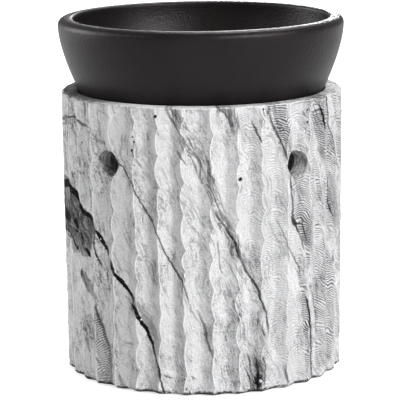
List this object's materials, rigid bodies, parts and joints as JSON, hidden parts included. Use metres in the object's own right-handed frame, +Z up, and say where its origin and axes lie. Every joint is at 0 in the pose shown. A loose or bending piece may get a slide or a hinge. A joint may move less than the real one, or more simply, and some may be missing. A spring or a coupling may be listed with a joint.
{
  "type": "aroma lamp",
  "caption": "Cylindrical fluted ceramic aroma lamp with a tealight chamber, vents, a rear doorway and a lift-off glazed bowl seated in its open top.",
  "frame": {"origin": "middle of the footprint, on the surface that the felt pads stand on", "axes": "+Z up along the lamp's axis, the front with the two vents towards -Y, the doorway towards +Y, +X to the right seen from the front"},
  "size_m": [0.101, 0.101, 0.1258],
  "materials": {
    "veined_ceramic": "matt, white with grey-black marble veins",
    "black_glaze": "satin black glaze",
    "felt": "dark felt",
    "cup_aluminium": "bright pressed foil",
    "wax": "white paraffin wax",
    "cotton": "waxed cotton braid",
    "clip_steel": "tinned sheet"
  },
  "bodies": {
    "body": {"body": "veined_ceramic", "base_pad_1": "felt", "base_pad_2": "felt", "base_pad_3": "felt", "base_pad_4": "felt"},
    "bowl": {"bowl": "black_glaze"},
    "tealight": {"tealight_cup": "cup_aluminium", "tealight_wax": "wax", "tealight_wick": "cotton", "wick_clip": "clip_steel"}
  },
  "joints": [
    {"name": "bowl_lift", "type": "slide", "parent": "body", "child": "bowl", "axis": [0, 0, 1], "range_m": [0, 0.06]},
    {"name": "tealight_slide", "type": "slide", "parent": "body", "child": "tealight", "axis": [0, 1, 0], "range_m": [0, 0.09]}
  ]
}
